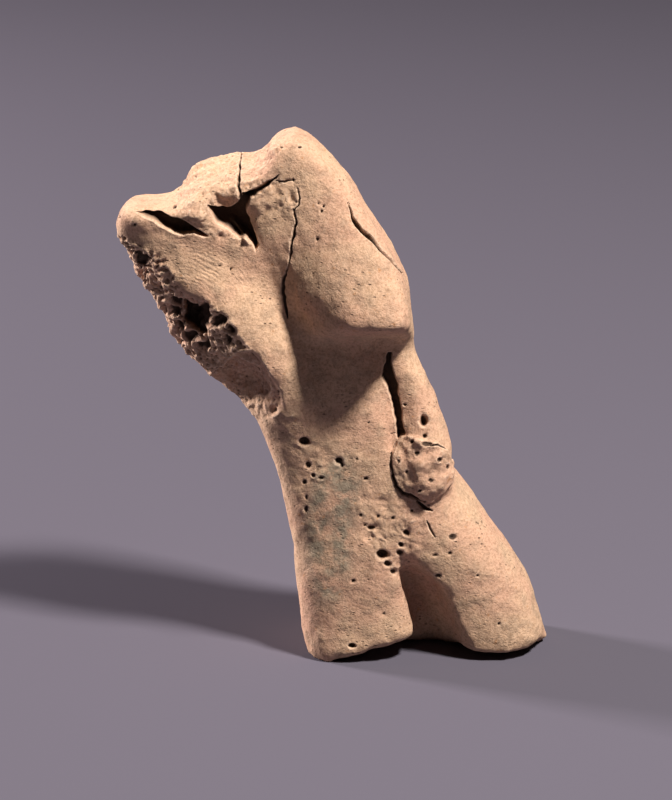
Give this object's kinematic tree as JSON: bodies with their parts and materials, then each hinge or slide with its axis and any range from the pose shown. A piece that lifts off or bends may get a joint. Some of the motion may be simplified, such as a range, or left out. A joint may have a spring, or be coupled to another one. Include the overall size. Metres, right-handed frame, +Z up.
{
  "type": "clay female figurine fragment",
  "caption": "Broken hand-modelled clay figurine of a nude female torso that leans to one side and stands on its broken thighs; headless, with one arm lost.",
  "frame": {"origin": "on the ground, under the middle of the box that holds the standing figurine", "axes": "+Z up from the ground, +X to the right of someone facing the figurine's front, -Y out of its front"},
  "size_m": [0.065, 0.0266, 0.0802],
  "materials": {
    "fired_clay": "unglazed, rough and porous buff fired clay"
  },
  "bodies": {
    "root": {"female_figurine": "fired_clay"}
  },
  "joints": []
}
